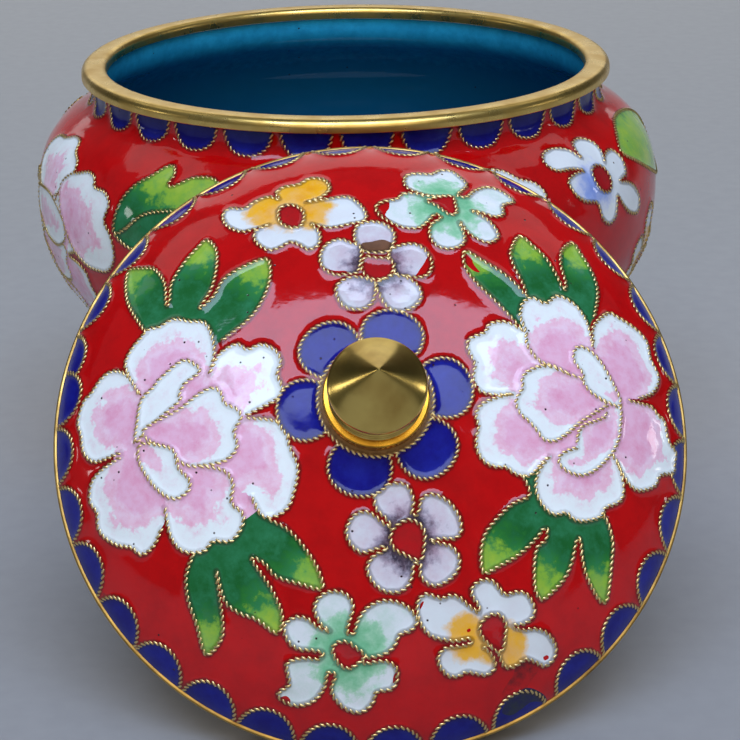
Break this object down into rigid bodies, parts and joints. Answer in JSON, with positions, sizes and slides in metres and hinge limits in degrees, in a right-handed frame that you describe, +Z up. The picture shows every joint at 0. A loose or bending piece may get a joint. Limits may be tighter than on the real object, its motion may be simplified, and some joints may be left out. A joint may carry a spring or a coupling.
{
  "type": "cloisonne tea caddy",
  "caption": "Open round enamelled jar with a gilt mouth ring and foot ring, and its domed lid with a turned finial leaning against it; holds loose tea.",
  "frame": {"origin": "middle of the underside of the whole caddy's box, on the surface that the jar and the lid stand on", "axes": "+Z up, -Y the side where the lid leans, +X to the right as the lid is looked at; the jar's axis is 31.5 mm behind the origin"},
  "size_m": [0.1194, 0.1824, 0.0805],
  "materials": {
    "red_enamel": "gloss",
    "gilt_brass": "polished"
  },
  "bodies": {
    "root": {"jar_body": "red_enamel", "jar_mouth_ring": "gilt_brass", "jar_foot_ring": "gilt_brass", "lid_dome": "red_enamel", "lid_rim": "gilt_brass", "finial_collar": "gilt_brass", "finial_knob": "gilt_brass"}
  },
  "joints": []
}
